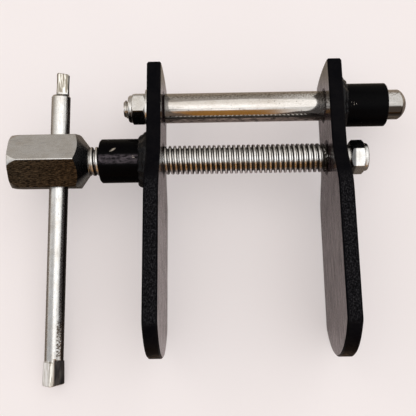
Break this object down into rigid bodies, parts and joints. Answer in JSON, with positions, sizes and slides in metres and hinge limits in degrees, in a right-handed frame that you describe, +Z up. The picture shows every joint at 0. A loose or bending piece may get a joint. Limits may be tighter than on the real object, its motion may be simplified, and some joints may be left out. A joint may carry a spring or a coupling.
{
  "type": "brake caliper spreader",
  "caption": "Screw-operated spreader with two black ogee jaw plates, a guide rod, a threaded screw with a hexagon head and a sliding tommy bar, for pushing caliper pistons back.",
  "frame": {"origin": "where the drive screw's centre line crosses the fixed jaw's inner face", "axes": "+X along the drive screw from the hexagon head to the moving jaw, +Y from the screw to the guide rod, +Z up as the tool lies on the long edges of its jaws"},
  "size_m": [0.1714, 0.1356, 0.05],
  "materials": {
    "black_paint": "semi-gloss",
    "black_weld": "semi-gloss",
    "zinc_steel": "satin",
    "ground_steel": "polished",
    "nylon": "matte"
  },
  "bodies": {
    "fixed_jaw": {"fixed_plate": "black_paint", "threaded_boss": "black_paint", "boss_weld": "black_weld", "guide_rod": "ground_steel", "rod_washer": "zinc_steel", "rod_nut": "zinc_steel", "rod_nut_ring": "nylon"},
    "moving_jaw": {"moving_plate": "black_paint", "guide_bush": "black_paint", "bush_weld": "black_weld"},
    "screw": {"drive_screw": "zinc_steel", "screw_nut": "zinc_steel", "screw_nut_ring": "nylon"},
    "tommy_bar": {"tommy_bar": "zinc_steel"}
  },
  "joints": [
    {"name": "jaw_slide", "type": "slide", "parent": "fixed_jaw", "child": "moving_jaw", "axis": [1, 0, 0], "range_m": [-0.068, 0.0038]},
    {"name": "screw_turn", "type": "hinge", "parent": "moving_jaw", "child": "screw", "pos_m": [0.0705, 0, 0], "axis": [1, 0, 0], "range_deg": [-11560, 640]},
    {"name": "bar_slide", "type": "slide", "parent": "screw", "child": "tommy_bar", "axis": [0.0349, 0.9779, 0.2061], "range_m": [-0.0164, 0.0744]}
  ],
  "couplings": [
    {"joint": "jaw_slide", "follows": "screw_turn", "m_per_rad": 0.00033688}
  ]
}
